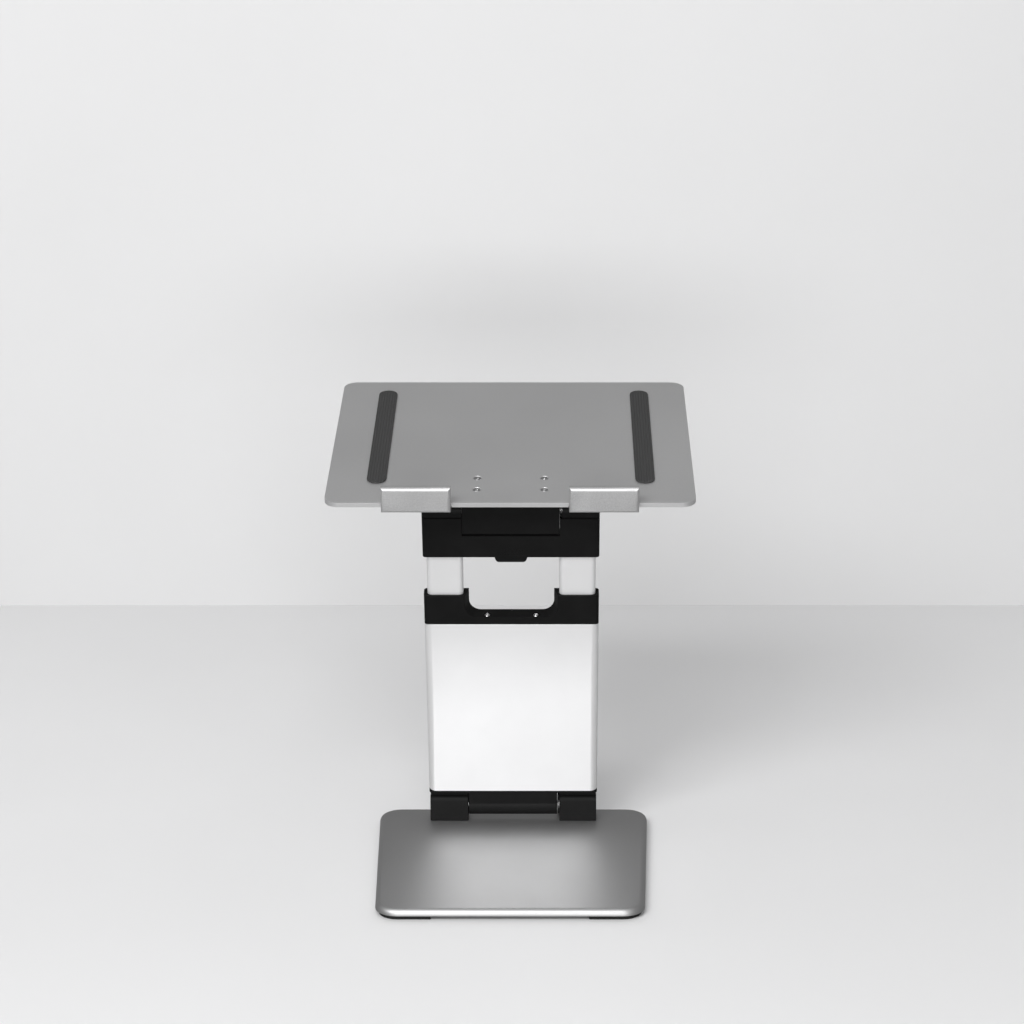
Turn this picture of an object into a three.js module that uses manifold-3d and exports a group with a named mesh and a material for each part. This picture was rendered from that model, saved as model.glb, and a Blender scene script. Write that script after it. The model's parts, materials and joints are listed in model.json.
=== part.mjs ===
// A folding laptop stand: a heavy base plate, a leaning column in two telescoping stages, and a
// tilting tray with two front hooks. Millimetres, +Z up, front towards -Y.
// The base is modelled with its floor at z = 0 and the hinge brackets' front faces at y = 0.
// The column's frame has its origin on the base hinge axis, z along the column, front face at -y.
// The tray's frame has its origin on the tilt hinge axis, z square to the tray, front edge at -y.

import * as THREE from 'three';
import { mergeVertices } from 'three/addons/utils/BufferGeometryUtils.js';
import Module from 'manifold-3d';

const wasm = await Module();
wasm.setup();

// Driving dimensions

const GAP = 0.3; // between pieces that rest on, or run in, each other
const LEAN = THREE.MathUtils.degToRad(15.7); // the column's forward lean
const SLOPE = THREE.MathUtils.degToRad(11.5); // the tray's rise towards the back
const SIDES = [['left', -1], ['right', 1]];

const FOOT = { frontInner: 55.5, rearInner: 66, depth: 15, height: 3.1, inset: 2.3 };
const PLATE = {
  frontWidth: 188.7, rearWidth: 205.4, front: -169.8, rear: 27.8,
  thick: 5.1, corner: 16, edge: 4.2,
};
const PLATE_BOTTOM = FOOT.height + GAP;
const PLATE_TOP = PLATE_BOTTOM + PLATE.thick;

const SHAFT = { radius: 2.8, bore: 3.1, head: 4.8, pocket: 5.2, headLength: 3 };
const BRACKET = { innerLeft: 34.1, innerRight: 35.1, outer: 63, depth: 16, height: 19.8, round: 3.8 };
const WEB = { depth: 1, inner: 33.7 };
const BRACKET_SCREW = { xs: [41, 56], y: 8, rise: 6.2, bore: 1.7, sink: 4.2 };
const BASE_AXIS = { y: 7.5, z: PLATE_TOP + 10.9 };
const KNUCKLE = { left: -33.8, right: 33.3, radius: 7.5 };
const FOLD_WASHERS = { radius: 7.1, inner: [33.6, 34.1], outer: [34.4, 34.8] };

const COLUMN = { width: 127, thick: 11, wall: 1.2, bottom: 16.3, top: 165.9, mouldedCorner: 2.4 };
const FACE = COLUMN.thick / 2;
const END_CAP = { flange: 14.2, plugTop: 24.6, screwX: 45, screwZ: 20.4 };
const COLLAR = {
  bottom: COLUMN.top + GAP, top: 190.5, ledge: 172.3,
  notchRear: 31, notchFront: 33.6, round: 8.5,
};
const CORE = { bottom: 150, halfWidth: 33.9, halfDepth: 3.9 };
const COLLAR_SCREW = { x: 17.7, y: -1.8, bore: 1.4, pocket: 2.6, sink: 1.2 };

const RAIL = { centre: 47.8, width: 26.3, thick: 7, wall: 1.2, bottom: 70, top: 239.5 };
const SHOE = { bottom: 57, thick: 8, plugTop: 77 };
const STRIP = { inner: 31, outer: 33, halfDepth: 3.9, bottom: END_CAP.plugTop + 0.4, top: 149.6 };
const LOCK = { z: 63.5, pitch: 16, below: 2, above: 4, window: 2.1, nose: 1.8, travel: 3.5 };
const SLIDER = { inner: 40, outer: 49, halfHeight: 3.5, front: -2, back: 0.2, pegRadius: 0.8, slotHalf: 1.1 };
const LOCK_NOSE = 31.3; // how near to the middle a lock pin reaches
const PULL_ROD = { inner: 44.5, outer: 49, front: 0.5, back: 2, bottom: 60.5, pegX: 46.25 };
const RIVET = { x: 46.75, z: 231.8, radius: 0.9 };

const HEAD = { bottom: 223.2, recess: 240.6, recessHalf: 35.1, barrel: 6.5, barrelEnd: 62.5 };
const HEAD_GROOVE = { bottom: 255, top: 257.1, depth: 0.9 };
const TILT_AXIS_Z = 259.5;
const TONGUE = { half: 34.8, drop: 17.9, rise: 11 };
const TILT_SHAFT = { reach: 54, boreReach: 58.4, pocket: [49.6, 54.4], nut: [50, 53.5] };
const TILT_WASHERS = { radius: 5.2, inner: [35.1, 35.6], outer: [35.9, 36.3], pocket: 7.2, pocketEnd: 36.6 };
const CROSSBAR = { halfWidth: 50, bottom: 230.3, top: 233.3, front: -1.5, back: 0.2, seatX: 9, seatY: 3 };
const TAB = { tip: 218.2, top: 229.9, tipWidth: 21, rootWidth: 24.4, halfDepth: 4.2 };
const SPRING = { radius: 1.9, wire: 0.3, bottom: 233.9, top: 239.3, turns: 3 };
const HEAD_SCREWS = [[-28, 226.9], [28, 226.9], [-49.5, 247], [49.5, 247]];

const TRAY = { width: 262, depth: 215, front: -23.2, bottom: 13.2, thick: 3.4, corner: 10 };
const TRAY_TOP = TRAY.bottom + TRAY.thick;
const FLANGE = { front: -6.8, back: 24, bottom: 8.8, screwX: 24, screwYs: [-1, 18] };
const HOOK = {
  centre: 66, width: 49, thick: 6.1, corner: 2.5,
  below: 1.7, above: 14.2, lap: 19.5, lapInto: 1.1,
};
const HOOK_SCREW = { back: 10, bore: 1.5, length: 4.1 };
const TRAY_PAD = { centre: 96, width: 14, front: 8, length: 165, thick: 1.1 };

const FINE = 32; // facets round a visible barrel
const COARSE = 12; // facets round a screw or pin

// Shapes

// A closed outline through corners [x, y, radius], taken counterclockwise.
function outline(corners, steps = 4) {
  const at = (i) => new THREE.Vector2(...corners[(i + corners.length) % corners.length]);
  const points = [];
  const add = (point) => {
    const known = [points[0], points[points.length - 1]];
    if (!known.some((other) => other && other.distanceTo(point) < 1e-4)) points.push(point);
  };
  corners.forEach(([, , radius = 0], i) => {
    const corner = at(i);
    if (radius === 0) {
      add(corner);
      return;
    }
    const before = at(i - 1).sub(corner).normalize();
    const after = at(i + 1).sub(corner).normalize();
    const half = before.angleTo(after) / 2;
    const middle = before.clone().add(after).normalize();
    const centre = middle.multiplyScalar(radius / Math.sin(half)).add(corner);
    const start = before.clone().multiplyScalar(radius / Math.tan(half)).add(corner);
    const turn = (Math.PI - 2 * half) * Math.sign(after.cross(before));
    for (let k = 0; k <= steps; k += 1) {
      add(start.clone().rotateAround(centre, (turn * k) / steps));
    }
  });
  return new THREE.Shape(points);
}

function rectangle(x0, x1, y0, y1, radius = 0, steps = 4) {
  return outline([[x0, y0, radius], [x1, y0, radius], [x1, y1, radius], [x0, y1, radius]], steps);
}

// A flat bar's section with fully rounded sides.
function stadium(centre, width, thick, steps = 5) {
  return rectangle(centre - width / 2, centre + width / 2, -thick / 2, thick / 2, thick / 2, steps);
}

// The section that the moulded pieces share: as wide and thick as the column, with small corners.
function mouldedBar() {
  return rectangle(-COLUMN.width / 2, COLUMN.width / 2, -FACE, FACE, COLUMN.mouldedCorner, 4);
}

function prismZ(shape, z0, z1) {
  const geometry = new THREE.ExtrudeGeometry(shape, { depth: z1 - z0, bevelEnabled: false });
  return geometry.translate(0, 0, z0);
}

// An outline drawn in (x, z), standing from y0 to y1.
function prismY(shape, y0, y1) {
  return prismZ(shape, 0, y1 - y0).rotateX(Math.PI / 2).translate(0, y1, 0);
}

// An outline drawn in (y, z), standing from x0 to x1.
function prismX(shape, x0, x1) {
  return prismZ(shape, x0, x1).rotateZ(Math.PI / 2).rotateY(Math.PI / 2);
}

function block(x0, x1, y0, y1, z0, z1) {
  const box = new THREE.BoxGeometry(x1 - x0, y1 - y0, z1 - z0);
  return box.translate((x0 + x1) / 2, (y0 + y1) / 2, (z0 + z1) / 2);
}

function rodX(radius, x0, x1, y = 0, z = 0, facets = FINE) {
  const rod = new THREE.CylinderGeometry(radius, radius, x1 - x0, facets).rotateZ(-Math.PI / 2);
  return rod.translate((x0 + x1) / 2, y, z);
}

function rodY(radius, y0, y1, x = 0, z = 0, facets = COARSE) {
  return new THREE.CylinderGeometry(radius, radius, y1 - y0, facets).translate(x, (y0 + y1) / 2, z);
}

function rodZ(radius, z0, z1, x = 0, y = 0, facets = COARSE) {
  const rod = new THREE.CylinderGeometry(radius, radius, z1 - z0, facets).rotateX(Math.PI / 2);
  return rod.translate(x, y, (z0 + z1) / 2);
}

// A turned piece on the z axis, from its profile of [radius, z] points.
function turned(profile, facets = COARSE) {
  const points = profile.map(([radius, z]) => new THREE.Vector2(radius, z));
  return new THREE.LatheGeometry(points, facets).rotateX(Math.PI / 2);
}

// Pointing up, its head's top at z = 0.
function countersunkScrew(shank, head, sink, length) {
  return turned([[0, -length], [shank, -length], [shank, -sink], [head, 0], [0, 0]]);
}

// Its head's underside is at z = 0.
function panScrew(shank, head, headHeight, length) {
  return turned([
    [0, -length], [shank, -length], [shank, 0],
    [head, 0], [head, headHeight], [0, headHeight],
  ]);
}

// Solids: a closed mesh becomes a manifold, is cut or joined, and comes back as a geometry

function solid(geometry) {
  const plain = geometry.clone();
  plain.deleteAttribute('normal');
  plain.deleteAttribute('uv');
  const merged = mergeVertices(plain, 1e-5);
  return new wasm.Manifold(new wasm.Mesh({
    numProp: 3,
    vertProperties: Float32Array.from(merged.attributes.position.array),
    triVerts: Uint32Array.from(merged.index.array),
  }));
}

function surface(body) {
  const mesh = body.getMesh();
  const geometry = new THREE.BufferGeometry();
  geometry.setAttribute('position', new THREE.BufferAttribute(mesh.vertProperties, 3));
  geometry.setIndex(new THREE.BufferAttribute(mesh.triVerts, 1));
  geometry.computeVertexNormals();
  return geometry;
}

function join(...pieces) {
  return surface(pieces.map(solid).reduce((whole, piece) => whole.add(piece)));
}

function cut(stock, ...tools) {
  return surface(tools.map(solid).reduce((rest, tool) => rest.subtract(tool), solid(stock)));
}

function common(first, second) {
  return surface(solid(first).intersect(solid(second)));
}

// Finishes

function finish(color, roughness, metalness) {
  return new THREE.MeshStandardMaterial({ color, roughness, metalness });
}

const baseMetal = finish(0x9c9c9d, 0.4, 0.8);
const aluminium = finish(0xe4e4e4, 0.4, 0.75);
const hookMetal = finish(0xc6c6c6, 0.55, 0.5);
const blackPlastic = finish(0x242426, 0.6, 0);
const rubber = finish(0x1a1a1a, 0.9, 0);
const steel = finish(0xb9bbbd, 0.25, 1);
const darkSteel = finish(0x4c4c4e, 0.4, 1);
const padRubber = finish(0x3a3a3c, 0.85, 0);

function addPart(group, name, geometry, material) {
  const mesh = new THREE.Mesh(geometry, material);
  mesh.name = name;
  group.add(mesh);
  return mesh;
}

// Base: plate, feet, hinge brackets and the fold shaft with its friction stack

// The plate's outline, or one that lies inset from it.
function plateOutline(inset = 0) {
  const front = PLATE.frontWidth / 2 - inset;
  const rear = PLATE.rearWidth / 2 - inset;
  const [y0, y1] = [PLATE.front + inset, PLATE.rear - inset];
  const radius = PLATE.corner - inset;
  const corners = [[-front, y0], [front, y0], [rear, y1], [-rear, y1]];
  return outline(corners.map(([x, y]) => [x, y, radius]), 6);
}

// The top edge is a quarter round; the same round below is cut away, which leaves a sharp lower edge.
function basePlate() {
  const plate = new THREE.ExtrudeGeometry(plateOutline(), {
    depth: PLATE.thick - PLATE.edge,
    bevelThickness: PLATE.edge,
    bevelSize: PLATE.edge,
    bevelOffset: -PLATE.edge,
    bevelSegments: 5,
  });
  plate.translate(0, 0, PLATE_BOTTOM);
  const reach = PLATE.rearWidth;
  const below = block(-reach, reach, -reach, reach, PLATE_BOTTOM - PLATE.edge - 1, PLATE_BOTTOM);
  const holes = SIDES.flatMap(([, side]) => BRACKET_SCREW.xs.flatMap((x) => {
    const { y, bore, sink } = BRACKET_SCREW;
    const cone = turned([[0, -1], [sink, -1], [bore, 1.5], [0, 1.5]]);
    return [
      rodZ(bore, PLATE_BOTTOM - 1, PLATE_TOP + 1, side * x, y),
      cone.translate(side * x, y, PLATE_BOTTOM),
    ];
  }));
  return cut(plate, below, ...holes);
}

// A foot follows the plate's corner, from its inner end outwards.
function foot(end, side) {
  const inner = end === 'front' ? FOOT.frontInner : FOOT.rearInner;
  const [x0, x1] = side > 0 ? [inner, PLATE.rearWidth] : [-PLATE.rearWidth, -inner];
  const edge = end === 'front' ? PLATE.front + FOOT.inset : PLATE.rear - FOOT.inset;
  const [y0, y1] = end === 'front' ? [edge - 1, edge + FOOT.depth] : [edge - FOOT.depth, edge + 1];
  const pad = prismZ(plateOutline(FOOT.inset), 0, FOOT.height);
  return common(pad, block(x0, x1, y0, y1, -1, FOOT.height + 1));
}

// The right bracket has a thin web that closes the gap behind the washers.
function bracket(side) {
  const low = PLATE_TOP + GAP;
  const high = PLATE_TOP + BRACKET.height;
  const section = outline([
    [0, low], [BRACKET.depth, low],
    [BRACKET.depth, high, BRACKET.round], [0, high, BRACKET.round],
  ]);
  const [x0, x1] = side > 0 ? [BRACKET.innerRight, BRACKET.outer] : [-BRACKET.outer, -BRACKET.innerLeft];
  const pocketStart = BRACKET.outer - SHAFT.headLength - 1;
  const [p0, p1] = side > 0 ? [pocketStart, BRACKET.outer + 1] : [-BRACKET.outer - 1, -pocketStart];
  const holeTop = PLATE_TOP + BRACKET_SCREW.rise + 0.4;
  const holes = BRACKET_SCREW.xs.map((x) => rodZ(1.6, low - 1, holeTop, side * x, BRACKET_SCREW.y));
  const web = common(
    prismX(section, WEB.inner, x1),
    block(WEB.inner, x1, BRACKET.depth - WEB.depth, BRACKET.depth, low, high),
  );
  return cut(
    side > 0 ? join(prismX(section, x0, x1), web) : prismX(section, x0, x1),
    rodX(SHAFT.bore, x0 - 1, x1 + 1, BASE_AXIS.y, BASE_AXIS.z),
    rodX(SHAFT.pocket, p0, p1, BASE_AXIS.y, BASE_AXIS.z),
    ...holes,
  );
}

// A shaft with a round head at its left end, and a hexagon nut for its right end.
function shaft(reach) {
  const head = rodX(SHAFT.head, -reach, -reach + SHAFT.headLength);
  return join(rodX(SHAFT.radius, -reach + 1, reach, 0, 0, 24), head);
}

function nut(x0, x1) {
  return cut(rodX(SHAFT.head, x0, x1, 0, 0, 6), rodX(SHAFT.bore, x0 - 1, x1 + 1, 0, 0, 24));
}

function washer(radius, [x0, x1]) {
  return cut(rodX(radius, x0, x1, 0, 0, 24), rodX(SHAFT.bore, x0 - 1, x1 + 1, 0, 0, 24));
}

function addBase(group) {
  addPart(group, 'base_plate', basePlate(), baseMetal);
  for (const end of ['front', 'rear']) {
    for (const [name, side] of SIDES) addPart(group, `foot_${end}_${name}`, foot(end, side), rubber);
  }
  for (const [name, side] of SIDES) {
    addPart(group, `base_bracket_${name}`, bracket(side), blackPlastic);
    BRACKET_SCREW.xs.forEach((x, i) => {
      const screw = countersunkScrew(1.3, 2.9, 1.6, PLATE.thick + BRACKET_SCREW.rise).rotateX(Math.PI);
      const mesh = addPart(group, `bracket_screw_${name}_${i + 1}`, screw, steel);
      mesh.position.set(side * x, BRACKET_SCREW.y, PLATE_BOTTOM);
    });
  }
  const stack = new THREE.Group();
  stack.position.set(0, BASE_AXIS.y, BASE_AXIS.z);
  group.add(stack);
  addPart(stack, 'fold_shaft', shaft(BRACKET.outer - 0.5), steel);
  addPart(stack, 'fold_nut', nut(BRACKET.outer - 3.6, BRACKET.outer - 1), steel);
  addPart(stack, 'fold_washer_inner', washer(FOLD_WASHERS.radius, FOLD_WASHERS.inner), darkSteel);
  addPart(stack, 'fold_washer_outer', washer(FOLD_WASHERS.radius, FOLD_WASHERS.outer), darkSteel);
}

// Column: tube, end cap with the hinge knuckle, collar with its hand notch, and the lock strips

function lowerTube() {
  const section = stadium(0, COLUMN.width, COLUMN.thick, 8);
  const room = 2 * COLUMN.wall;
  section.holes.push(stadium(0, COLUMN.width - room, COLUMN.thick - room, 8));
  const tube = prismZ(section, COLUMN.bottom, COLUMN.top);
  return cut(tube, ...SIDES.map(([, side]) => rodY(1.5, 2, FACE + 1, side * END_CAP.screwX, END_CAP.screwZ)));
}

function endCap() {
  const inset = 2 * (COLUMN.wall + GAP);
  const plug = stadium(0, COLUMN.width - inset, COLUMN.thick - inset);
  return cut(
    join(
      rodX(KNUCKLE.radius, KNUCKLE.left, KNUCKLE.right),
      block(KNUCKLE.left, KNUCKLE.right, -FACE, FACE, 0, END_CAP.flange + 0.5),
      prismZ(mouldedBar(), END_CAP.flange, COLUMN.bottom - GAP),
      prismZ(plug, END_CAP.flange + 1, END_CAP.plugTop),
    ),
    rodX(SHAFT.bore, KNUCKLE.left - 1, KNUCKLE.right + 1),
    ...SIDES.map(([, side]) => rodY(1.5, -2.5, FACE + 1, side * END_CAP.screwX, END_CAP.screwZ)),
  );
}

// The hand notch widens evenly from the back face to the front face.
function handNotch() {
  const half = COLLAR.notchRear;
  const high = COLLAR.top + 5;
  const reach = FACE + 1;
  const shape = outline([
    [-half, COLLAR.ledge, COLLAR.round], [half, COLLAR.ledge, COLLAR.round],
    [half, high], [-half, high],
  ], 6);
  const notch = prismY(shape, -reach, reach);
  const place = notch.attributes.position;
  const flare = (COLLAR.notchFront / COLLAR.notchRear - 1) / COLUMN.thick;
  for (let i = 0; i < place.count; i += 1) {
    place.setX(i, place.getX(i) * (1 + flare * (FACE - place.getY(i))));
  }
  return notch;
}

function collar() {
  const pockets = SIDES.map(([, side]) => {
    const section = stadium(side * RAIL.centre, RAIL.width + 2 * GAP, RAIL.thick + 2 * GAP, 4);
    return prismZ(section, COLLAR.bottom - 1, COLLAR.top + 1);
  });
  const holes = SIDES.flatMap(([, side]) => {
    const { x, y, bore, pocket, sink } = COLLAR_SCREW;
    return [
      rodZ(bore, COLLAR.bottom - 1, COLLAR.ledge + 1, side * x, y),
      rodZ(pocket, COLLAR.ledge - sink, COLLAR.ledge + 1, side * x, y, 20),
    ];
  });
  return cut(prismZ(mouldedBar(), COLLAR.bottom, COLLAR.top), ...pockets, ...holes, handNotch());
}

function collarCore() {
  const { halfWidth, halfDepth, bottom } = CORE;
  const bar = block(-halfWidth, halfWidth, -halfDepth, halfDepth, bottom, COLLAR.bottom - GAP);
  const { x, y, bore } = COLLAR_SCREW;
  return cut(bar, ...SIDES.map(([, side]) => rodZ(bore, bottom + 1.5, COLUMN.top + 1, side * x, y)));
}

// A perforated strip: one window for each height the lock pins can hold.
function lockStrip(side) {
  const [x0, x1] = side > 0 ? [STRIP.inner, STRIP.outer] : [-STRIP.outer, -STRIP.inner];
  const windows = [];
  for (let step = -LOCK.below; step <= LOCK.above; step += 1) {
    const z = LOCK.z + step * LOCK.pitch;
    windows.push(block(x0 - 1, x1 + 1, -LOCK.window, LOCK.window, z - LOCK.window, z + LOCK.window));
  }
  return cut(block(x0, x1, -STRIP.halfDepth, STRIP.halfDepth, STRIP.bottom, STRIP.top), ...windows);
}

function addColumn(group) {
  addPart(group, 'lower_tube', lowerTube(), aluminium);
  addPart(group, 'tube_end_cap', endCap(), blackPlastic);
  addPart(group, 'collar', collar(), blackPlastic);
  addPart(group, 'collar_core', collarCore(), aluminium);
  for (const [name, side] of SIDES) {
    const capScrew = panScrew(1.2, 2.5, 1.2, FACE + GAP + 2).rotateX(-Math.PI / 2);
    const capMesh = addPart(group, `end_cap_screw_${name}`, capScrew, steel);
    capMesh.position.set(side * END_CAP.screwX, FACE + GAP, END_CAP.screwZ);
    const collarMesh = addPart(group, `collar_screw_${name}`, panScrew(1, 2.2, 1.2, 16), steel);
    collarMesh.position.set(side * COLLAR_SCREW.x, COLLAR_SCREW.y, COLLAR.ledge - COLLAR_SCREW.sink + GAP);
    addPart(group, `lock_strip_${name}`, lockStrip(side), steel);
  }
}

// Upper stage: rails with their shoes, the two head shells, and the tilt shaft

function rail(side) {
  const section = stadium(side * RAIL.centre, RAIL.width, RAIL.thick, 6);
  const room = 2 * RAIL.wall;
  section.holes.push(stadium(side * RAIL.centre, RAIL.width - room, RAIL.thick - room, 6));
  const inner = RAIL.centre - RAIL.width / 2;
  const [x0, x1] = side > 0 ? [inner - 1, inner + 5] : [-inner - 5, -inner + 1];
  const crossbarSlot = block(x0, x1, -1.9, 1.9, CROSSBAR.bottom - 0.8, RAIL.top + 1);
  return cut(prismZ(section, RAIL.bottom, RAIL.top), crossbarSlot);
}

// Pieces inside a rail are modelled for the right side and mirrored for the left.
function mirrored(geometry, side) {
  if (side > 0) return geometry;
  return surface(solid(geometry).mirror([1, 0, 0]));
}

function railShoe() {
  const plugWidth = RAIL.width - 2 * (RAIL.wall + GAP);
  const plugThick = RAIL.thick - 2 * (RAIL.wall + GAP);
  const shoe = join(
    prismZ(stadium(RAIL.centre, RAIL.width, SHOE.thick, 4), SHOE.bottom, RAIL.bottom - GAP),
    prismZ(stadium(RAIL.centre, plugWidth, plugThick, 4), RAIL.bottom - 1, SHOE.plugTop),
  );
  const room = GAP + 0.1;
  return cut(
    shoe,
    block(
      SLIDER.inner - room, SLIDER.outer + LOCK.travel + room,
      SLIDER.front - GAP, SHOE.thick,
      LOCK.z - SLIDER.halfHeight - room, LOCK.z + SLIDER.halfHeight + room,
    ),
    block(
      STRIP.outer, SLIDER.inner + 1,
      -LOCK.window, LOCK.window,
      LOCK.z - LOCK.window, LOCK.z + LOCK.window,
    ),
    block(
      PULL_ROD.inner - room, PULL_ROD.outer + room,
      PULL_ROD.front - GAP, SHOE.thick,
      LOCK.z, SHOE.plugTop + 1,
    ),
  );
}

function headBlank() {
  const barrels = SIDES.map(([, side]) => {
    const [x0, x1] = side > 0 ? [HEAD.recessHalf, HEAD.barrelEnd] : [-HEAD.barrelEnd, -HEAD.recessHalf];
    return rodX(HEAD.barrel, x0, x1, 0, TILT_AXIS_Z);
  });
  const railPockets = SIDES.map(([, side]) => {
    const section = stadium(side * RAIL.centre, RAIL.width + 2 * GAP, RAIL.thick + 2 * GAP, 4);
    return prismZ(section, HEAD.bottom - 1, RAIL.top + GAP);
  });
  const chamberTop = CROSSBAR.top + LOCK.travel + 0.4;
  const tabHalf = TAB.rootWidth / 2 + 0.4;
  const screwHoles = HEAD_SCREWS.flatMap(([x, z]) => [
    rodY(1.5, -3.8, FACE + 1, x, z),
    rodY(2.7, 4.2, FACE + 1, x, z),
  ]);
  const [pocket0, pocket1] = TILT_SHAFT.pocket;
  const groove = [-FACE - 2, -FACE + HEAD_GROOVE.depth, HEAD_GROOVE.bottom, HEAD_GROOVE.top];
  return cut(
    join(prismZ(mouldedBar(), HEAD.bottom, TILT_AXIS_Z), ...barrels),
    block(-HEAD.recessHalf, HEAD.recessHalf, -9, 9, HEAD.recess, TILT_AXIS_Z + 9),
    ...railPockets,
    block(-RAIL.centre, RAIL.centre, -1.9, 1.9, CROSSBAR.bottom - 0.5, chamberTop),
    block(-tabHalf, tabHalf, -TAB.halfDepth - GAP, TAB.halfDepth + GAP, HEAD.bottom - 1, chamberTop),
    rodZ(3, chamberTop - 1, SPRING.top + SPRING.wire + GAP),
    block(-COLUMN.width, COLUMN.width, ...groove),
    rodX(TILT_WASHERS.pocket, HEAD.recessHalf - 1, TILT_WASHERS.pocketEnd, 0, TILT_AXIS_Z),
    rodX(SHAFT.bore, -TILT_SHAFT.boreReach, TILT_SHAFT.boreReach, 0, TILT_AXIS_Z, 24),
    rodX(SHAFT.pocket, -pocket1, -pocket0, 0, TILT_AXIS_Z, 24),
    rodX(SHAFT.pocket, pocket0, pocket1, 0, TILT_AXIS_Z, 24),
    ...screwHoles,
  );
}

function addUpperStage(group) {
  const blank = headBlank();
  const split = GAP / 2;
  const reach = [COLUMN.width, COLUMN.thick, TILT_AXIS_Z + COLUMN.thick];
  const frontHalf = block(-reach[0], reach[0], -reach[1], -split, 0, reach[2]);
  const rearHalf = block(-reach[0], reach[0], split, reach[1], 0, reach[2]);
  addPart(group, 'head_front_shell', common(blank, frontHalf), blackPlastic);
  addPart(group, 'head_rear_shell', common(blank, rearHalf), blackPlastic);
  HEAD_SCREWS.forEach(([x, z], i) => {
    const mesh = addPart(group, `head_screw_${i + 1}`, panScrew(1.2, 2.4, 0.9, 8), steel);
    mesh.rotation.x = -Math.PI / 2;
    mesh.position.set(x, 4.5, z);
  });
  for (const [name, side] of SIDES) {
    addPart(group, `rail_${name}`, rail(side), aluminium);
    addPart(group, `rail_shoe_${name}`, mirrored(railShoe(), side), blackPlastic);
  }
  const stack = new THREE.Group();
  stack.position.set(0, 0, TILT_AXIS_Z);
  group.add(stack);
  addPart(stack, 'tilt_shaft', shaft(TILT_SHAFT.reach), steel);
  addPart(stack, 'tilt_nut', nut(...TILT_SHAFT.nut), steel);
  addPart(stack, 'tilt_washer_inner', washer(TILT_WASHERS.radius, TILT_WASHERS.inner), darkSteel);
  addPart(stack, 'tilt_washer_outer', washer(TILT_WASHERS.radius, TILT_WASHERS.outer), darkSteel);
}

// Release: a thumb tab under the head lifts a crossbar and two pull rods, which draw the lock pins

// The tab widens from its tip to its root, which just shows below the head.
function releaseTab() {
  const tip = TAB.tipWidth / 2;
  const root = TAB.rootWidth / 2;
  const shoulder = HEAD.bottom - 0.2;
  const shape = outline([
    [-tip, TAB.tip, 2.6], [tip, TAB.tip, 2.6],
    [root, shoulder, 2], [root, TAB.top],
    [-root, TAB.top], [-root, shoulder, 2],
  ]);
  return prismY(shape, -TAB.halfDepth, TAB.halfDepth);
}

function crossbar() {
  const { halfWidth, front, back, bottom, top, seatX, seatY } = CROSSBAR;
  const bar = block(-halfWidth, halfWidth, front, back, bottom, top);
  const springSeat = block(-seatX, seatX, -seatY, seatY, bottom, top);
  const rivetHoles = SIDES.map(([, side]) => rodY(RIVET.radius + GAP, -3, 3, side * RIVET.x, RIVET.z));
  return cut(join(bar, springSeat), ...rivetHoles);
}

// A peg at its foot runs in the lock pin's slanted slot; a rivet at its top holds it to the crossbar.
function pullRod() {
  const pegZ = LOCK.z - LOCK.travel / 2;
  const { inner, outer, front, back, bottom, pegX } = PULL_ROD;
  return join(
    block(inner, outer, front, back, bottom, CROSSBAR.top),
    rodY(SLIDER.pegRadius, SLIDER.front + 0.1, back - 0.5, pegX, pegZ),
    rodY(RIVET.radius, CROSSBAR.front, back - 0.5, RIVET.x, RIVET.z),
  );
}

// Lifting the peg along the 45 degree slot moves the pin outwards by the same amount.
function lockPin() {
  const width = 2 * SLIDER.slotHalf;
  const slot = prismY(stadium(0, LOCK.travel * Math.SQRT2 + width, width, 4), -3, 1);
  slot.rotateY(Math.PI / 4).translate(PULL_ROD.pegX - LOCK.travel / 2, 0, LOCK.z);
  const body = block(
    SLIDER.inner, SLIDER.outer,
    SLIDER.front, SLIDER.back,
    LOCK.z - SLIDER.halfHeight, LOCK.z + SLIDER.halfHeight,
  );
  const nose = block(
    LOCK_NOSE, SLIDER.inner + 0.5,
    -LOCK.nose, LOCK.nose,
    LOCK.z - LOCK.nose, LOCK.z + LOCK.nose,
  );
  return cut(join(body, nose), slot);
}

class Helix extends THREE.Curve {
  constructor(radius, z0, z1, turns) {
    super();
    Object.assign(this, { radius, z0, z1, turns });
  }

  getPoint(t, target = new THREE.Vector3()) {
    const angle = 2 * Math.PI * this.turns * t;
    const z = this.z0 + (this.z1 - this.z0) * t;
    return target.set(this.radius * Math.cos(angle), this.radius * Math.sin(angle), z);
  }
}

function returnSpring() {
  const wire = new THREE.Shape().absarc(0, 0, SPRING.wire, 0, 2 * Math.PI);
  const path = new Helix(SPRING.radius, SPRING.bottom, SPRING.top, SPRING.turns);
  return new THREE.ExtrudeGeometry(wire, { steps: 12 * SPRING.turns, curveSegments: 3, extrudePath: path });
}

function addRelease(group) {
  addPart(group, 'release_tab', releaseTab(), blackPlastic);
  addPart(group, 'release_crossbar', crossbar(), steel);
  addPart(group, 'return_spring', returnSpring(), steel);
  for (const [name, side] of SIDES) {
    addPart(group, `pull_rod_${name}`, mirrored(pullRod(), side), steel);
    addPart(group, `lock_pin_${name}`, mirrored(lockPin(), side), steel);
  }
}

// Tray: plate, hinge block with the tongue, front hooks and pads

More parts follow.
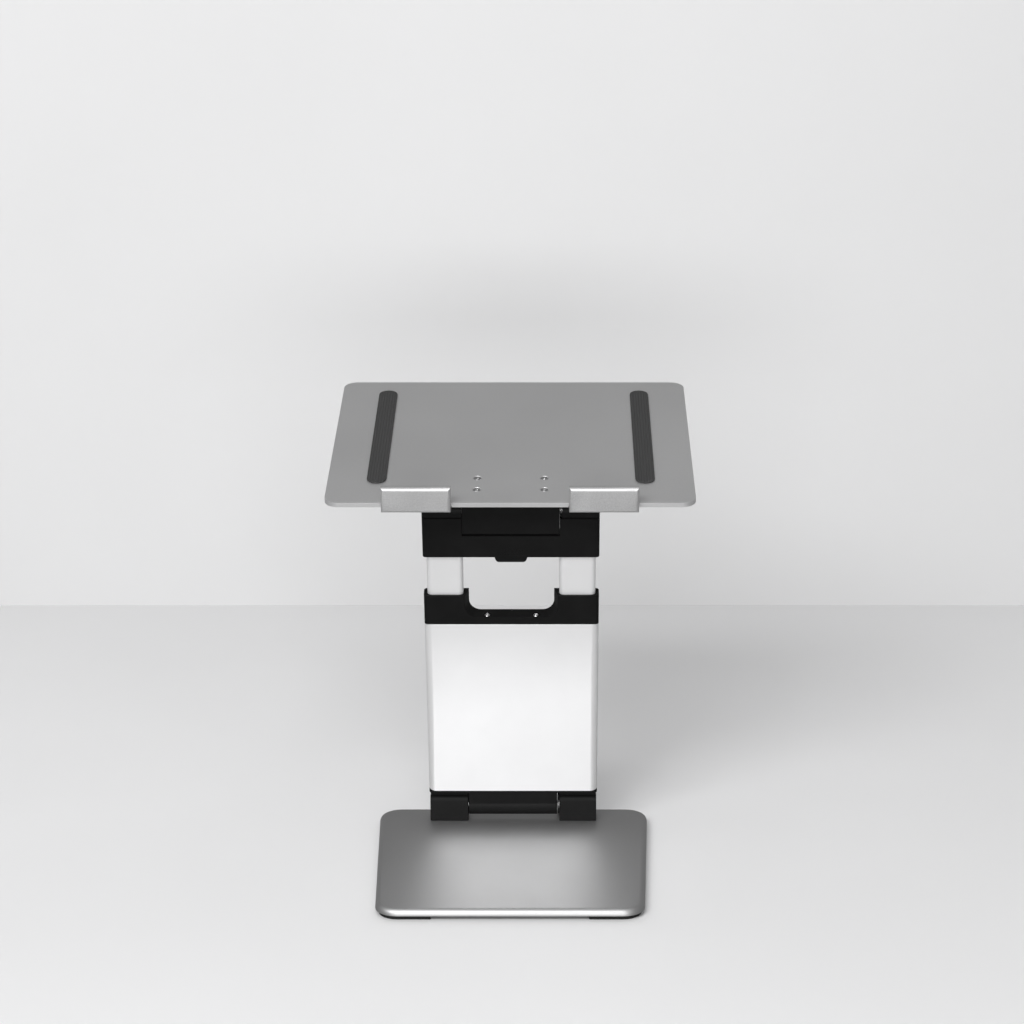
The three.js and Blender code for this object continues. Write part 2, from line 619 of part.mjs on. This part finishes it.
function trayPlate() {
  const half = TRAY.width / 2;
  const back = TRAY.front + TRAY.depth;
  const plate = prismZ(rectangle(-half, half, TRAY.front, back, TRAY.corner, 6), TRAY.bottom, TRAY_TOP);
  const flangeHoles = FLANGE.screwYs.flatMap((y) => SIDES.flatMap(([, side]) => {
    const cone = turned([[0, -1.9], [1.5, -1.9], [3.9, 0.5], [0, 0.5]]);
    return [
      rodZ(1.5, TRAY.bottom - 1, TRAY_TOP + 1, side * FLANGE.screwX, y),
      cone.translate(side * FLANGE.screwX, y, TRAY_TOP),
    ];
  }));
  const hookSeats = SIDES.flatMap(([, side]) => {
    const x = side * HOOK.centre;
    const seatHalf = HOOK.width / 2 + GAP;
    const seatTop = TRAY.bottom + HOOK.lapInto;
    return [
      block(x - seatHalf, x + seatHalf, TRAY.front - 1, TRAY.front + HOOK.lap, TRAY.bottom - 1, seatTop),
      rodZ(HOOK_SCREW.bore, TRAY.bottom - 1, TRAY_TOP - 0.8, x, TRAY.front + HOOK_SCREW.back),
    ];
  });
  return cut(plate, ...flangeHoles, ...hookSeats);
}

// The tongue fills the head's recess, flush with it, and its end is round about the tilt axis.
function hingeBlock() {
  const { half, drop, rise } = TONGUE;
  const tongue = common(
    prismX(rectangle(-FACE, FACE, -drop - 1, rise), -half, half),
    rodX(drop, -half, half, 0, 0, 96),
  );
  const flange = block(-half, half, FLANGE.front, FLANGE.back, FLANGE.bottom, TRAY.bottom - GAP);
  const holes = FLANGE.screwYs.flatMap((y) => SIDES.map(([, side]) => (
    rodZ(1.5, FLANGE.bottom + 0.5, TRAY.bottom, side * FLANGE.screwX, y)
  )));
  return cut(
    join(tongue.rotateX(LEAN - SLOPE), flange),
    rodX(SHAFT.bore, -half - 1, half + 1, 0, 0, 24),
    ...holes,
  );
}

// A hook laps under the tray's front edge, let into its underside, and stands up in front of it.
function frontHook() {
  const back = TRAY.front - GAP;
  const front = back - HOOK.thick;
  const lapBack = back + HOOK.lap;
  const low = TRAY.bottom - HOOK.below;
  const lapTop = TRAY.bottom + HOOK.lapInto - GAP;
  const high = TRAY_TOP + HOOK.above;
  const section = outline([
    [front, low, 2.2], [lapBack, low, 0.8],
    [lapBack, lapTop], [back, lapTop],
    [back, high, 1.8], [front, high, 3],
  ]);
  const half = HOOK.width / 2;
  return cut(
    common(
      prismX(section, -half, half),
      prismZ(rectangle(-half, half, front, lapBack, HOOK.corner), low - 1, high + 1),
    ),
    rodZ(HOOK_SCREW.bore, low - 1, lapTop + 1, 0, TRAY.front + HOOK_SCREW.back),
  );
}

function hookPad() {
  const half = HOOK.width / 2 - 3;
  const high = TRAY_TOP + HOOK.above - 2.2;
  return prismY(rectangle(-half, half, TRAY_TOP + GAP, high, 1.5), TRAY.front, TRAY.front + 0.8);
}

function addTray(group) {
  addPart(group, 'tray_plate', trayPlate(), aluminium);
  addPart(group, 'tray_hinge_block', hingeBlock(), blackPlastic);
  FLANGE.screwYs.forEach((y, row) => {
    for (const [name, side] of SIDES) {
      const screw = countersunkScrew(1.2, 2.9, 1.7, 6.4);
      const mesh = addPart(group, `tray_screw_${name}_${row + 1}`, screw, steel);
      mesh.position.set(side * FLANGE.screwX, y, TRAY_TOP - 0.1);
    }
  });
  const { width, front, length, thick } = TRAY_PAD;
  const padShape = rectangle(-width / 2, width / 2, front, front + length, width / 2 - 0.1);
  const pad = prismZ(padShape, TRAY_TOP + GAP, TRAY_TOP + GAP + thick);
  for (const [name, side] of SIDES) {
    addPart(group, `front_hook_${name}`, frontHook(), hookMetal).position.x = side * HOOK.centre;
    addPart(group, `hook_pad_${name}`, hookPad(), padRubber).position.x = side * HOOK.centre;
    addPart(group, `tray_pad_${name}`, pad.clone(), padRubber).position.x = side * TRAY_PAD.centre;
    const screw = panScrew(1.2, 2.4, 1, HOOK_SCREW.length).rotateX(Math.PI);
    const mesh = addPart(group, `hook_screw_${name}`, screw, steel);
    mesh.position.set(side * HOOK.centre, TRAY.front + HOOK_SCREW.back, TRAY.bottom - HOOK.below - GAP);
  }
}

// The whole stand, with its origin under the middle of its bounding box

const stand = new THREE.Group();
addBase(stand);

const column = new THREE.Group();
column.position.set(0, BASE_AXIS.y, BASE_AXIS.z);
column.rotation.x = LEAN;
stand.add(column);
addColumn(column);
addUpperStage(column);
addRelease(column);

const tray = new THREE.Group();
tray.position.set(0, 0, TILT_AXIS_Z).applyAxisAngle(new THREE.Vector3(1, 0, 0), LEAN).add(column.position);
tray.rotation.x = SLOPE;
stand.add(tray);
addTray(tray);

stand.updateMatrixWorld(true);
const bounds = new THREE.Box3().setFromObject(stand, true);
const middle = bounds.getCenter(new THREE.Vector3());
stand.position.set(-middle.x, -middle.y, -bounds.min.z);

export default stand;
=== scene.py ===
"""The look of a folding laptop stand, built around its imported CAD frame. Metres, +Z up, front to -Y."""

import json
import math

import bpy
from mathutils import Euler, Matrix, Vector


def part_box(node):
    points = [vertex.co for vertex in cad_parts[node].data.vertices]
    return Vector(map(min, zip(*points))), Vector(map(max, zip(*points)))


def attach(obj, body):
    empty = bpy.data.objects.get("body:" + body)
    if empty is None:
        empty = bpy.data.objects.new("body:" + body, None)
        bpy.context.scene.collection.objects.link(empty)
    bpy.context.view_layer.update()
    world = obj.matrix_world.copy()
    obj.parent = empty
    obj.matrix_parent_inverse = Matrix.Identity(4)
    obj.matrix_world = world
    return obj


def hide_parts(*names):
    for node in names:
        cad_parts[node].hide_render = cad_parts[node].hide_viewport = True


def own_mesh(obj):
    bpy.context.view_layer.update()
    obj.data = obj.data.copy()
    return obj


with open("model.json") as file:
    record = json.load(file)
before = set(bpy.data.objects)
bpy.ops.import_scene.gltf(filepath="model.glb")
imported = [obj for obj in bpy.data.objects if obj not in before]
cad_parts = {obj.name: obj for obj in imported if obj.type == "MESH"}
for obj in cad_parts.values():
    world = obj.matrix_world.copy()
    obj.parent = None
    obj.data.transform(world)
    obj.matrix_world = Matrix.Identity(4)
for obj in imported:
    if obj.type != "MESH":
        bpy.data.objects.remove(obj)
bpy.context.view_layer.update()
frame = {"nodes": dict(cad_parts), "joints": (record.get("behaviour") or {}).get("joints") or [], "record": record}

NODES = frame["nodes"]
JOINTS = {joint["name"]: joint for joint in frame["joints"]}
BODIES = frame["record"]["behaviour"]["bodies"]
BODY_OF = {node: body for body, nodes in BODIES.items() for node in nodes}
SIDES = ("left", "right")
MM = 0.001

# Directions: up and back along the column, and out of the tray's top.
RIGHT = Vector((1, 0, 0))
DOWN = Vector((0, 0, -1))
COLUMN_UP = Vector(JOINTS["height_slide"]["axis"])
COLUMN_BACK = COLUMN_UP.cross(RIGHT)
COLUMN_LEAN = math.atan2(-COLUMN_UP.y, COLUMN_UP.z)
TRAY_UP = Vector(frame["record"]["mounts"][-1]["axis"])


# ---------------------------------------------------------------- materials


NOISE_LOW, NOISE_HIGH = 0.3, 0.7  # most of a noise texture lies between these
WAVE_PERIOD = math.pi / 10  # of the wave texture at a scale of 1


class Surface:
    """A Principled material with short calls for the procedural nodes that drive it."""

    def __init__(self, name, **sockets):
        self.material = bpy.data.materials.new(name)
        self.material.use_nodes = True
        self.tree = self.material.node_tree
        self.shader = self.tree.nodes["Principled BSDF"]
        self.coordinates = self.tree.nodes.new("ShaderNodeTexCoord").outputs["Object"]
        for socket, value in sockets.items():
            self.shader.inputs[socket.replace("_", " ")].default_value = value

    def node(self, kind, inputs=None, **settings):
        node = self.tree.nodes.new(kind)
        for key, value in settings.items():
            setattr(node, key, value)
        for socket, value in (inputs or {}).items():
            if isinstance(value, bpy.types.NodeSocket):
                self.tree.links.new(value, node.inputs[socket])
            else:
                node.inputs[socket].default_value = value
        return node

    def mapped(self, scale, tilt=0.0):
        """Object coordinates turned by tilt about X, then scaled along the turned axes."""
        turned = self.node("ShaderNodeMapping", {"Vector": self.coordinates, "Rotation": (tilt, 0, 0)})
        return self.node("ShaderNodeMapping", {"Vector": turned.outputs[0], "Scale": scale}).outputs[0]

    def noise(self, scale, detail=3.0, roughness=0.55, vector=None):
        place = self.coordinates if vector is None else vector
        inputs = {"Vector": place, "Scale": scale, "Detail": detail, "Roughness": roughness}
        return self.node("ShaderNodeTexNoise", inputs).outputs["Fac"]

    def spread(self, noise, low, high):
        """The range of a noise becomes low to high."""
        inputs = {
            "Value": noise, "From Min": NOISE_LOW, "From Max": NOISE_HIGH, "To Min": low, "To Max": high,
        }
        return self.node("ShaderNodeMapRange", inputs).outputs[0]

    def ramp(self, value, *stops):
        """A colour ramp through stops of (position, colour)."""
        ramp = self.node("ShaderNodeValToRGB", {"Fac": value})
        elements = ramp.color_ramp.elements
        elements[0].position, elements[0].color = stops[0][0], (*stops[0][1], 1)
        elements[1].position, elements[1].color = stops[-1][0], (*stops[-1][1], 1)
        for position, color in stops[1:-1]:
            elements.new(position).color = (*color, 1)
        return ramp.outputs["Color"]

    def shade(self, noise, low, high):
        """The range of a noise drives the colour from grey low to grey high."""
        self.drive("Base Color", self.ramp(noise, (NOISE_LOW, grey(low)), (NOISE_HIGH, grey(high))))

    def drive(self, socket, value):
        self.tree.links.new(value, self.shader.inputs[socket])

    def bump(self, height, strength, depth, under=None):
        """A bump, its depth in millimetres, on top of the bump under it."""
        inputs = {"Height": height, "Strength": strength, "Distance": depth * MM}
        if under is not None:
            inputs["Normal"] = under
        return self.node("ShaderNodeBump", inputs).outputs["Normal"]


def grey(value):
    return (value, value, value * 1.005)


def painted_base():
    s = Surface("base_metal", Metallic=1.0)
    fine = s.noise(scale=2600, detail=2)
    cloud = s.noise(scale=14, detail=4)
    s.drive("Base Color", s.ramp(fine, (0.3, grey(0.46)), (0.5, grey(0.51)), (0.72, grey(0.57))))
    s.drive("Roughness", s.spread(cloud, low=0.50, high=0.54))
    s.drive("Normal", s.bump(fine, strength=0.12, depth=0.06))
    return s.material


def extruded_aluminium():
    """Clear anodised extrusion: fine lines along the column and a soft cloudiness."""
    s = Surface("column_aluminium", Metallic=0.55)
    lines = s.noise(scale=3200, detail=2, vector=s.mapped((1, 1, 0.006), tilt=-COLUMN_LEAN))
    cloud = s.noise(scale=22)
    s.shade(cloud, low=0.86, high=0.89)
    s.drive("Roughness", s.spread(lines, low=0.34, high=0.40))
    s.drive("Normal", s.bump(lines, strength=0.06, depth=0.03))
    return s.material


def blasted_aluminium():
    s = Surface("tray_aluminium", Metallic=0.8)
    grain = s.noise(scale=3200, detail=2)
    cloud = s.noise(scale=9)
    s.shade(grain, low=0.66, high=0.74)
    s.drive("Roughness", s.spread(cloud, low=0.42, high=0.5))
    s.drive("Normal", s.bump(grain, strength=0.14, depth=0.05))
    return s.material


def cast_hook():
    s = Surface("hook_metal", Metallic=0.7)
    grain = s.noise(scale=1700, detail=4, roughness=0.6)
    cloud = s.noise(scale=60)
    s.drive("Base Color", s.ramp(grain, (0.32, grey(0.44)), (0.5, grey(0.52)), (0.68, grey(0.60))))
    s.drive("Roughness", s.spread(cloud, low=0.40, high=0.52))
    s.drive("Normal", s.bump(grain, strength=0.2, depth=0.1))
    return s.material


def moulded_plastic():
    """Glass-filled nylon: charcoal, with a fine spark-eroded grain."""
    s = Surface("black_plastic", Specular_IOR_Level=0.12)
    grain = s.noise(scale=2100, roughness=0.6)
    cloud = s.noise(scale=45)
    s.shade(cloud, low=0.004, high=0.006)
    s.drive("Roughness", s.spread(grain, low=0.46, high=0.62))
    s.drive("Normal", s.bump(grain, strength=0.25, depth=0.08))
    return s.material


def moulded_rubber(name, shade, rib_pitch=None):
    """Matt rubber; with a rib pitch in millimetres, ribbed across X."""
    s = Surface(name)
    grain = s.noise(scale=1500)
    s.shade(grain, low=shade * 0.8, high=shade * 1.3)
    s.drive("Roughness", s.spread(grain, low=0.72, high=0.9))
    relief = s.bump(grain, strength=0.3, depth=0.12)
    if rib_pitch:
        wave = {"Vector": s.coordinates, "Scale": WAVE_PERIOD / (rib_pitch * MM)}
        ribs = s.node("ShaderNodeTexWave", wave, bands_direction="X").outputs["Fac"]
        relief = s.bump(ribs, strength=0.7, depth=0.4, under=relief)
    s.drive("Normal", relief)
    return s.material


def turned_steel(name, low, high, roughness):
    s = Surface(name, Metallic=1.0)
    fine = s.noise(scale=2500, vector=s.mapped((0.15, 1, 1)))
    s.shade(fine, low, high)
    s.drive("Roughness", s.spread(fine, low=roughness, high=roughness + 0.14))
    s.drive("Normal", s.bump(fine, strength=0.08, depth=0.04))
    return s.material


MATERIALS = {
    "base_metal": painted_base(),
    "column_aluminium": extruded_aluminium(),
    "tray_aluminium": blasted_aluminium(),
    "hook_metal": cast_hook(),
    "black_plastic": moulded_plastic(),
    "foot_rubber": moulded_rubber("foot_rubber", 0.006),
    "pad_rubber": moulded_rubber("pad_rubber", 0.035, rib_pitch=2.0),
    "bright_steel": turned_steel("bright_steel", 0.58, 0.7, roughness=0.2),
    "dark_steel": turned_steel("dark_steel", 0.05, 0.08, roughness=0.4),
}


def dress_cad_nodes():
    for row in frame["record"]["subparts"]:
        mesh = NODES[row["node"]].data
        mesh.materials.clear()
        mesh.materials.append(MATERIALS[row["material_slot"]])


# ---------------------------------------------------------------- CAD nodes with finished edges


# The width of each CAD node's rounded edges in millimetres. PAIR_EDGES leaves out the side's name.
EDGES = {
    "base_plate": 0.3, "tube_end_cap": 0.5, "lower_tube": 0.25, "collar": 0.45, "collar_core": 0.3,
    "head_front_shell": 0.5, "head_rear_shell": 0.5, "tray_plate": 0.6, "tray_hinge_block": 0.6,
    "release_tab": 0.5, "release_crossbar": 0.3, "fold_shaft": 0.3, "fold_nut": 0.3,
    "tilt_shaft": 0.3, "tilt_nut": 0.3, "fold_washer_inner": 0.12, "fold_washer_outer": 0.12,
    "tilt_washer_inner": 0.1, "tilt_washer_outer": 0.1,
}
PAIR_EDGES = {
    "base_bracket": 0.7, "rail": 0.2, "rail_shoe": 0.4, "lock_strip": 0.2, "pull_rod": 0.2,
    "lock_pin": 0.25, "front_hook": 0.8, "hook_pad": 0.3, "tray_pad": 0.4, "foot_front": 0.6,
    "foot_rear": 0.6,
}
WELD_WITHIN = 0.01 * MM
FLAT_WITHIN = math.radians(0.4)
SHARP_EDGE = math.radians(40)


def finish_edges(name, width, merge_flat=True):
    """Rounds a CAD node's sharp edges: the mesh itself stays as it is, and modifiers do the rest."""
    node = NODES[name]
    custom = node.data.attributes.get("custom_normal")
    if custom is not None:
        node.data.attributes.remove(custom)
    node.data.shade_smooth()
    weld = node.modifiers.new("weld", "WELD")
    weld.merge_threshold = WELD_WITHIN
    if merge_flat:
        flat = node.modifiers.new("flat", "DECIMATE")
        flat.decimate_type = "DISSOLVE"
        flat.angle_limit = FLAT_WITHIN
    bevel = node.modifiers.new("bevel", "BEVEL")
    bevel.width = width * MM
    bevel.segments = 3
    bevel.limit_method = "ANGLE"
    bevel.angle_limit = SHARP_EDGE
    bevel.use_clamp_overlap = True
    normals = node.modifiers.new("normals", "WEIGHTED_NORMAL")
    normals.keep_sharp = True


def finish_all_edges():
    for name, width in EDGES.items():
        finish_edges(name, width)
    for name, width in PAIR_EDGES.items():
        for side in SIDES:
            # The hooks are rounded all over, with no flat faces to merge.
            finish_edges(f"{name}_{side}", width, merge_flat=name != "front_hook")


# ---------------------------------------------------------------- fine pieces


def add_piece(name, points, faces, body, slot):
    mesh = bpy.data.meshes.new(name)
    mesh.from_pydata(points, [], faces)
    mesh.materials.append(MATERIALS[slot])
    piece = bpy.data.objects.new(name, mesh)
    bpy.context.scene.collection.objects.link(piece)
    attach(piece, body)
    return piece


def skin(rings, steps, start=0):
    """Faces around a row of rings, each of steps points from start on, with a cap at both ends."""
    faces = []
    for ring in range(rings - 1):
        low = start + ring * steps
        high = low + steps
        for step in range(steps):
            after = (step + 1) % steps
            faces.append((low + step, low + after, high + after, high + step))
    last = start + (rings - 1) * steps
    faces.append(tuple(start + step for step in reversed(range(steps))))
    faces.append(tuple(last + step for step in range(steps)))
    return faces


# Screws, in millimetres. A sunk head has a small chamfer, and a raised head is domed.
SCREW_STEPS = 24
SOCKET_FLAT = 1.0
SOCKET_DEPTH = 0.9
SUNK_CHAMFER = 0.18
DOME_ANGLES = (0, 0.35, 0.7, 1.05)
CROWN_WITHIN = 0.02
SHARP_CREASE = math.radians(32)


def circle(radius, angle):
    """Distance to a circle's edge, the same at any angle."""
    return radius


def hexagon(flat, angle):
    """Distance to a hexagon's edge, flat from its middle to a side."""
    third = math.pi / 3
    return flat / math.cos((angle % third) - third / 2)


def screw_rings(head, head_height, sunk, shank, length):
    """Rings of (outline, size, height): up the outside to the head's top at 0, then into the socket."""
    if sunk:
        cap = [(shank, -head_height), (head - SUNK_CHAMFER, -SUNK_CHAMFER), (head - 2 * SUNK_CHAMFER, 0)]
    else:
        dome = [(head * math.cos(a), head_height * (math.sin(a) - 1)) for a in DOME_ANGLES]
        cap = [(shank, -head_height), *dome]
    outside = [(circle, radius, height) for radius, height in [(shank, -length), *cap]]
    return [*outside, (hexagon, SOCKET_FLAT, 0), (hexagon, SOCKET_FLAT, -SOCKET_DEPTH)]


def fine_screw(node, axis, head, head_height, sunk=False, shank=1.15):
    """A screw with a hexagon socket, in place of a CAD screw that points along axis."""
    corners = [vertex.co for vertex in NODES[node].data.vertices]
    heights = [corner.dot(axis) for corner in corners]
    top = max(heights)
    crown = [corner for corner, height in zip(corners, heights) if top - height < CROWN_WITHIN * MM]
    centre = sum(crown, Vector()) / len(crown)
    across = axis.orthogonal().normalized()
    along = axis.cross(across)
    rings = screw_rings(head, head_height, sunk, shank, (top - min(heights)) / MM)
    points = []
    for outline, size, height in rings:
        for step in range(SCREW_STEPS):
            angle = 2 * math.pi * step / SCREW_STEPS
            spoke = across * math.cos(angle) + along * math.sin(angle)
            points.append(centre + spoke * (outline(size, angle) * MM) + axis * height * MM)
    faces = skin(len(rings), SCREW_STEPS)
    piece = add_piece(f"fine_{node}", points, faces, BODY_OF[node], "bright_steel")
    piece.data.shade_smooth()
    piece.data.set_sharp_from_angle(angle=SHARP_CREASE)
    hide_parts(node)


def add_screws():
    for side in SIDES:
        for number in (1, 2):
            fine_screw(f"bracket_screw_{side}_{number}", DOWN, head=2.9, head_height=1.6, sunk=True)
            fine_screw(f"tray_screw_{side}_{number}", TRAY_UP, head=2.9, head_height=1.7, sunk=True)
        fine_screw(f"end_cap_screw_{side}", COLUMN_BACK, head=2.5, head_height=1.2)
        fine_screw(f"collar_screw_{side}", COLUMN_UP, head=2.2, head_height=1.2, shank=0.95)
        fine_screw(f"hook_screw_{side}", -TRAY_UP, head=2.4, head_height=1.0)
    for number in (1, 2, 3, 4):
        fine_screw(f"head_screw_{number}", COLUMN_BACK, head=2.4, head_height=0.9)


def add_grip_dots(rows=3, columns=9, pitch=2.0, row_pitch=1.6, first=2.2, radius=0.5, proud=0.3):
    """Staggered raised dots on the head's front face, the first row just above the release tab."""
    head = [vertex.co for vertex in NODES["head_front_shell"].data.vertices]
    low = min(corner.dot(COLUMN_UP) for corner in head)
    foot = [corner for corner in head if corner.dot(COLUMN_UP) < low + 5 * MM]
    face = min(corner.dot(COLUMN_BACK) for corner in foot)
    steps = 10
    rings = ((1.0, -0.2), (1.0, 0.0), (0.72, 0.7), (0.3, 0.96))  # shares of radius and of proud
    points, faces = [], []
    for row in range(rows):
        dots = columns - row % 2
        z = low + (first + row * row_pitch) * MM
        for dot in range(dots):
            x = (dot - (dots - 1) / 2) * pitch * MM
            faces += skin(len(rings), steps, start=len(points))
            for reach, height in rings:
                for step in range(steps):
                    angle = 2 * math.pi * step / steps
                    out = RIGHT * (x + reach * radius * MM * math.cos(angle))
                    up = COLUMN_UP * (z + reach * radius * MM * math.sin(angle))
                    points.append(out + up + COLUMN_BACK * (face - height * proud * MM))
    piece = add_piece("grip_dots", points, faces, "head", "black_plastic")
    piece.data.shade_smooth()


def add_fine_spring(turns=3, wire=0.3, steps=30, sides=8):
    """The return spring, held by the head. The real spring shortens by the lock's travel as the tab is pulled up;
    here it is built at one length.
    """
    coil = [vertex.co for vertex in NODES["return_spring"].data.vertices]
    heights = [corner.dot(COLUMN_UP) for corner in coil]
    depths = [corner.dot(COLUMN_BACK) for corner in coil]
    bottom, top = min(heights), max(heights)
    middle = (min(depths) + max(depths)) / 2
    radius = (max(depths) - min(depths)) / 2 - wire * MM
    rise = top - bottom - 2 * wire * MM
    points = []
    for step in range(turns * steps + 1):
        angle = 2 * math.pi * step / steps
        height = bottom + wire * MM + rise * step / (turns * steps)
        spoke = RIGHT * math.cos(angle) + COLUMN_BACK * math.sin(angle)
        for side in range(sides):
            turn = 2 * math.pi * side / sides
            out = spoke * (radius + wire * MM * math.cos(turn))
            up = COLUMN_UP * (height - wire * MM * math.sin(turn))
            points.append(out + COLUMN_BACK * middle + up)
    faces = skin(turns * steps + 1, sides)
    spring = add_piece("fine_spring", points, faces, "head", "bright_steel")
    spring.data.shade_smooth()
    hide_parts("return_spring")
    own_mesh(spring)


def add_slit_shade_sheet(half_depth=4.8, clearance=0.02, thick=0.14, low=18.3, high=3.1):
    """A thin dark sheet set askew in the slit at the tongue's right end, low to high below the tilt axis: painted
    shade that keeps light from showing through the slit.
    """
    axis = Vector(JOINTS["tray_tilt"]["pos_m"])
    tongue_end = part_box("tray_hinge_block")[1].x + clearance * MM
    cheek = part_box("tilt_washer_inner")[0].x - clearance * MM
    points = []
    for x_front, x_back in ((tongue_end, cheek - thick * MM), (tongue_end + thick * MM, cheek)):
        for x, depth, drop in (
            (x_front, -half_depth, low), (x_back, half_depth, low),
            (x_back, half_depth, high), (x_front, -half_depth, high),
        ):
            points.append(axis + RIGHT * x + (COLUMN_BACK * depth - COLUMN_UP * drop) * MM)
    faces = [(3, 2, 1, 0), (4, 5, 6, 7), (1, 5, 4, 0), (2, 6, 5, 1), (3, 7, 6, 2), (0, 4, 7, 3)]
    # painted shade: a black sheet that keeps the slit dark
    add_piece("slit_shade_sheet", points, faces, "head", "black_plastic")


# ---------------------------------------------------------------- stage, light and camera


STAGE_HALF = 6.0
WALL_HEIGHT = 5.0
WALL_BEHIND_HINGE = 0.604
STUDIO_GLOW = 0.22
LIT_POINT = Vector((0, 0, 0.15))


def matt_paint(name, low, high):
    """Pale paint, solid on a panel's face and clear on its back, so the wall hides nothing from behind."""
    s = Surface(name)
    cloud = s.noise(scale=1.6)
    s.shade(cloud, low, high)
    s.drive("Roughness", s.spread(cloud, low=0.7, high=0.8))
    s.drive("Normal", s.bump(s.noise(scale=240), strength=0.05, depth=0.5))
    back = s.node("ShaderNodeNewGeometry").outputs["Backfacing"]
    clear = s.node("ShaderNodeBsdfTransparent").outputs[0]
    sides = s.node("ShaderNodeMixShader", {0: back, 1: s.shader.outputs[0], 2: clear})
    s.tree.links.new(sides.outputs[0], s.tree.nodes["Material Output"].inputs["Surface"])
    return s.material


def add_panel(name, corners, paint):
    mesh = bpy.data.meshes.new(name)
    mesh.from_pydata(corners, [], [(0, 1, 2, 3)])
    mesh.materials.append(paint)
    panel = bpy.data.objects.new(name, mesh)
    bpy.context.scene.collection.objects.link(panel)
    panel.visible_glossy = False  # metal mirrors the dimmer studio instead


def add_stage(hinge_front):
    """A pale floor, and a pale wall that stands on it."""
    half, top, y = STAGE_HALF, WALL_HEIGHT, hinge_front + WALL_BEHIND_HINGE
    floor = [(-half, -half, 0), (half, -half, 0), (half, half, 0), (-half, half, 0)]
    wall = [(-half, y, 0), (half, y, 0), (half, y, top), (-half, y, top)]
    add_panel("floor", floor, matt_paint("floor_paint", low=0.79, high=0.82))
    add_panel("wall", wall, matt_paint("wall_paint", low=0.62, high=0.65))


def add_light(name, azimuth, elevation, distance, size, power):
    """An area light aimed at the column, from azimuth degrees right of the front and elevation up."""
    turn, rise = math.radians(azimuth), math.radians(elevation)
    away = Vector((math.sin(turn) * math.cos(rise), -math.cos(turn) * math.cos(rise), math.sin(rise)))
    data = bpy.data.lights.new(name, "AREA")
    data.shape = "RECTANGLE"
    data.size, data.size_y = size
    data.energy = power
    lamp = bpy.data.objects.new(name, data)
    lamp.location = LIT_POINT + away * distance
    lamp.rotation_euler = away.to_track_quat("Z", "Y").to_euler()
    bpy.context.scene.collection.objects.link(lamp)


def add_lights():
    add_light("boom", azimuth=-4, elevation=42, distance=2.8, size=(1.0, 0.8), power=24)
    add_light("key", azimuth=-28, elevation=35, distance=3.4, size=(1.4, 1.1), power=54)
    add_light("front", azimuth=0, elevation=3, distance=3.0, size=(2.0, 0.5), power=36)
    add_light("top", azimuth=0, elevation=78, distance=2.6, size=(2.4, 1.8), power=5)
    world = bpy.data.worlds.new("studio")
    world.use_nodes = True
    background = world.node_tree.nodes["Background"]
    background.inputs["Color"].default_value = (1, 1, 1, 1)
    background.inputs["Strength"].default_value = STUDIO_GLOW
    bpy.context.scene.world = world
    bpy.context.scene.view_settings.view_transform = "Standard"


CAMERA_SIDE = 0.030
CAMERA_AHEAD_OF_HINGE = 1.8648
CAMERA_ABOVE_PLATE = 0.7251
CAMERA_DIP = 14.5  # degrees below level


def add_camera(hinge_front, plate_top):
    data = bpy.data.cameras.new("camera")
    data.sensor_width = 36.0
    data.lens = 91.8
    data.shift_x = -0.0398
    camera = bpy.data.objects.new("camera", data)
    camera.location = (CAMERA_SIDE, hinge_front - CAMERA_AHEAD_OF_HINGE, plate_top + CAMERA_ABOVE_PLATE)
    camera.rotation_euler = Euler((math.radians(90 - CAMERA_DIP), 0, 0))
    bpy.context.scene.collection.objects.link(camera)
    bpy.context.scene.camera = camera


HINGE_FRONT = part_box("base_bracket_left")[0].y
PLATE_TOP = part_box("base_plate")[1].z

add_camera(HINGE_FRONT, PLATE_TOP)
add_lights()
add_stage(HINGE_FRONT)
dress_cad_nodes()
finish_all_edges()
add_screws()
add_grip_dots()
add_fine_spring()
add_slit_shade_sheet()

bpy.context.view_layer.update()
